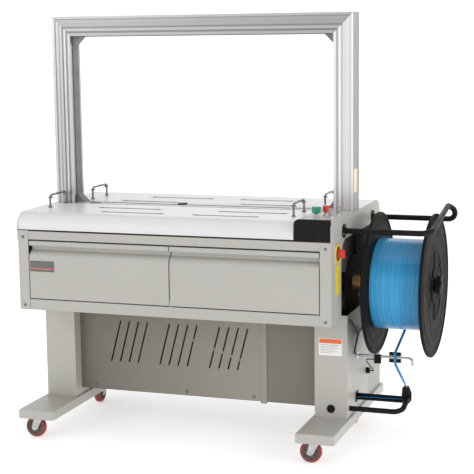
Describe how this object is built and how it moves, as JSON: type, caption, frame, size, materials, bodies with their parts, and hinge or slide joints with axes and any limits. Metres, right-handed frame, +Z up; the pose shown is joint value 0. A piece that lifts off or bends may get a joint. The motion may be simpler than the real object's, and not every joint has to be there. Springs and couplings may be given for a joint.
{
  "type": "arch strapping machine",
  "caption": "Caster-mounted strapping machine with a table-top arch track, lift-up covers, fold-down front doors and a side reel of plastic strap.",
  "frame": {"origin": "on the floor under the middle of the whole machine, reel and guard included", "axes": "+X along the table towards the strap reel, -Y the operator side, +Z up"},
  "size_m": [1.447, 0.723, 1.483],
  "materials": {
    "grey_paint": "satin powder coat",
    "white_paint": "satin powder coat",
    "aluminium": "anodised",
    "dark_steel": "blackened",
    "steel": "brushed",
    "black_paint": "satin",
    "black_plastic": "moulded",
    "grey_plastic": "moulded",
    "green_plastic": "gloss",
    "red_plastic": "gloss",
    "yellow_plastic": "gloss",
    "blue_strap": "polypropylene band",
    "zinc": "zinc plated",
    "red_wheel": "polyurethane tread",
    "cast_iron": "painted casting",
    "roller_rubber": "ground rubber",
    "lead_rubber": "sheathed",
    "cabinet_paint": "satin"
  },
  "bodies": {
    "machine": {"arch_columns": "aluminium", "arch_gussets": "aluminium", "arch_top_beam": "aluminium", "arch_track_liners": "dark_steel", "bearing_block": "dark_steel", "body_screws": "steel", "caster_mounts": "zinc", "control_bezel": "black_plastic", "control_cabinet": "cabinet_paint", "control_housing": "grey_paint", "drive_deck": "grey_paint", "drive_motor": "cast_iron", "foot_beams": "grey_paint", "guard_tube": "black_paint", "guide_rod_and_pivot": "steel", "hinge_pins": "steel", "left_end_plate": "grey_paint", "leg_columns": "grey_paint", "lower_arm": "dark_steel", "main_switch_plate": "yellow_plastic", "pool_panels": "grey_paint", "pool_shell": "grey_paint", "rear_panel": "grey_paint", "right_end_plate": "grey_paint", "sensor_lead": "lead_rubber", "slack_sensor": "black_plastic", "strap_run": "blue_strap", "strapping_head": "cast_iron", "table_frame": "grey_paint", "track_bed": "white_paint"},
    "front_cover": {"front_table_cover": "white_paint", "front_cover_fittings": "steel"},
    "rear_cover": {"rear_table_cover": "white_paint", "rear_cover_fittings": "steel"},
    "left_door": {"front_door_left": "grey_paint"},
    "right_door": {"front_door_right": "grey_paint"},
    "start_button": {"start_button": "green_plastic"},
    "stop_button": {"stop_button": "red_plastic"},
    "tension_knob": {"tension_knob": "black_plastic"},
    "selector_knob": {"selector_knob": "grey_plastic"},
    "main_switch": {"main_switch_knob": "red_plastic"},
    "reel": {"reel_shaft": "steel", "reel_inner_flange": "black_plastic", "reel_outer_flange": "black_plastic", "strap_coil": "blue_strap"},
    "lock_knob": {"reel_lock_knob": "black_plastic"},
    "upper_roller": {"guide_roller_upper": "black_plastic"},
    "lower_roller": {"guide_roller_lower": "black_plastic"},
    "corner_roller": {"corner_roller": "black_plastic"},
    "brake_crank": {"brake_crank": "dark_steel"},
    "feed_roller": {"feed_roller": "roller_rubber"},
    "pinch_roller": {"pinch_roller": "roller_rubber"},
    "fork_front_left": {"caster_fork_front_left": "zinc"},
    "wheel_front_left": {"caster_wheel_front_left": "red_wheel"},
    "fork_front_right": {"caster_fork_front_right": "zinc"},
    "wheel_front_right": {"caster_wheel_front_right": "red_wheel"},
    "fork_rear_left": {"caster_fork_rear_left": "zinc"},
    "wheel_rear_left": {"caster_wheel_rear_left": "red_wheel"},
    "fork_rear_right": {"caster_fork_rear_right": "zinc"},
    "wheel_rear_right": {"caster_wheel_rear_right": "red_wheel"}
  },
  "joints": [
    {"name": "front_cover_hinge", "type": "hinge", "parent": "machine", "child": "front_cover", "pos_m": [-0.153, -0.339, 0.758], "axis": [1, 0, 0], "range_deg": [0, 75]},
    {"name": "rear_cover_hinge", "type": "hinge", "parent": "machine", "child": "rear_cover", "pos_m": [-0.153, 0.339, 0.758], "axis": [-1, 0, 0], "range_deg": [0, 75]},
    {"name": "left_door_hinge", "type": "hinge", "parent": "machine", "child": "left_door", "pos_m": [-0.153, -0.336, 0.52], "axis": [1, 0, 0], "range_deg": [0, 90]},
    {"name": "right_door_hinge", "type": "hinge", "parent": "machine", "child": "right_door", "pos_m": [-0.153, -0.336, 0.52], "axis": [1, 0, 0], "range_deg": [0, 90]},
    {"name": "start_button_press", "type": "slide", "parent": "machine", "child": "start_button", "axis": [0, 0, -1], "range_m": [0, 0.004], "stiffness_N_per_m": 400, "springref_m": -0.002},
    {"name": "stop_button_press", "type": "slide", "parent": "machine", "child": "stop_button", "axis": [0, 0, -1], "range_m": [0, 0.004], "stiffness_N_per_m": 400, "springref_m": -0.002},
    {"name": "tension_knob_turn", "type": "hinge", "parent": "machine", "child": "tension_knob", "pos_m": [0.383, -0.246, 0.812], "axis": [0, 0, 1], "range_deg": [-140, 140]},
    {"name": "selector_knob_turn", "type": "hinge", "parent": "machine", "child": "selector_knob", "pos_m": [0.39, -0.178, 0.812], "axis": [0, 0, 1], "range_deg": [-45, 45]},
    {"name": "main_switch_turn", "type": "hinge", "parent": "machine", "child": "main_switch", "pos_m": [0.41, -0.268, 0.7], "axis": [1, 0, 0], "range_deg": [0, 90]},
    {"name": "reel_spin", "type": "hinge", "parent": "machine", "child": "reel", "pos_m": [0.482, 0.012, 0.557], "axis": [1, 0, 0], "continuous": true},
    {"name": "lock_knob_turn", "type": "hinge", "parent": "reel", "child": "lock_knob", "pos_m": [0.676, 0.012, 0.557], "axis": [1, 0, 0], "continuous": true},
    {"name": "upper_roller_spin", "type": "hinge", "parent": "machine", "child": "upper_roller", "pos_m": [0.551, -0.02, 0.316], "axis": [1, 0, 0], "continuous": true},
    {"name": "lower_roller_spin", "type": "hinge", "parent": "machine", "child": "lower_roller", "pos_m": [0.551, -0.02, 0.292], "axis": [1, 0, 0], "continuous": true},
    {"name": "corner_roller_spin", "type": "hinge", "parent": "machine", "child": "corner_roller", "pos_m": [0.589, -0.02, 0.172], "axis": [0, 1, 0], "continuous": true},
    {"name": "brake_crank_pivot", "type": "hinge", "parent": "machine", "child": "brake_crank", "pos_m": [0.4185, -0.026, 0.384], "axis": [1, 0, 0], "range_deg": [0, 10], "stiffness_Nm_per_rad": 2, "springref_deg": -5.73},
    {"name": "feed_roller_spin", "type": "hinge", "parent": "machine", "child": "feed_roller", "pos_m": [-0.223, -0.03, 0.69], "axis": [0, 1, 0], "continuous": true},
    {"name": "pinch_roller_spin", "type": "hinge", "parent": "machine", "child": "pinch_roller", "pos_m": [-0.2683, -0.03, 0.69], "axis": [0, 1, 0], "continuous": true},
    {"name": "swivel_front_left", "type": "hinge", "parent": "machine", "child": "fork_front_left", "pos_m": [-0.662, -0.312, 0.077], "axis": [0, 0, 1], "continuous": true},
    {"name": "roll_front_left", "type": "hinge", "parent": "fork_front_left", "child": "wheel_front_left", "pos_m": [-0.687, -0.312, 0.0375], "axis": [0, 1, 0], "continuous": true},
    {"name": "swivel_front_right", "type": "hinge", "parent": "machine", "child": "fork_front_right", "pos_m": [0.356, -0.312, 0.077], "axis": [0, 0, 1], "continuous": true},
    {"name": "roll_front_right", "type": "hinge", "parent": "fork_front_right", "child": "wheel_front_right", "pos_m": [0.331, -0.312, 0.0375], "axis": [0, 1, 0], "continuous": true},
    {"name": "swivel_rear_left", "type": "hinge", "parent": "machine", "child": "fork_rear_left", "pos_m": [-0.662, 0.2, 0.077], "axis": [0, 0, 1], "continuous": true},
    {"name": "roll_rear_left", "type": "hinge", "parent": "fork_rear_left", "child": "wheel_rear_left", "pos_m": [-0.662, 0.175, 0.0375], "axis": [-1, 0, 0], "continuous": true},
    {"name": "swivel_rear_right", "type": "hinge", "parent": "machine", "child": "fork_rear_right", "pos_m": [0.356, 0.2, 0.077], "axis": [0, 0, 1], "continuous": true},
    {"name": "roll_rear_right", "type": "hinge", "parent": "fork_rear_right", "child": "wheel_rear_right", "pos_m": [0.356, 0.175, 0.0375], "axis": [-1, 0, 0], "continuous": true}
  ],
  "couplings": [
    {"joint": "pinch_roller_spin", "follows": "feed_roller_spin", "ratio": -1.25}
  ]
}
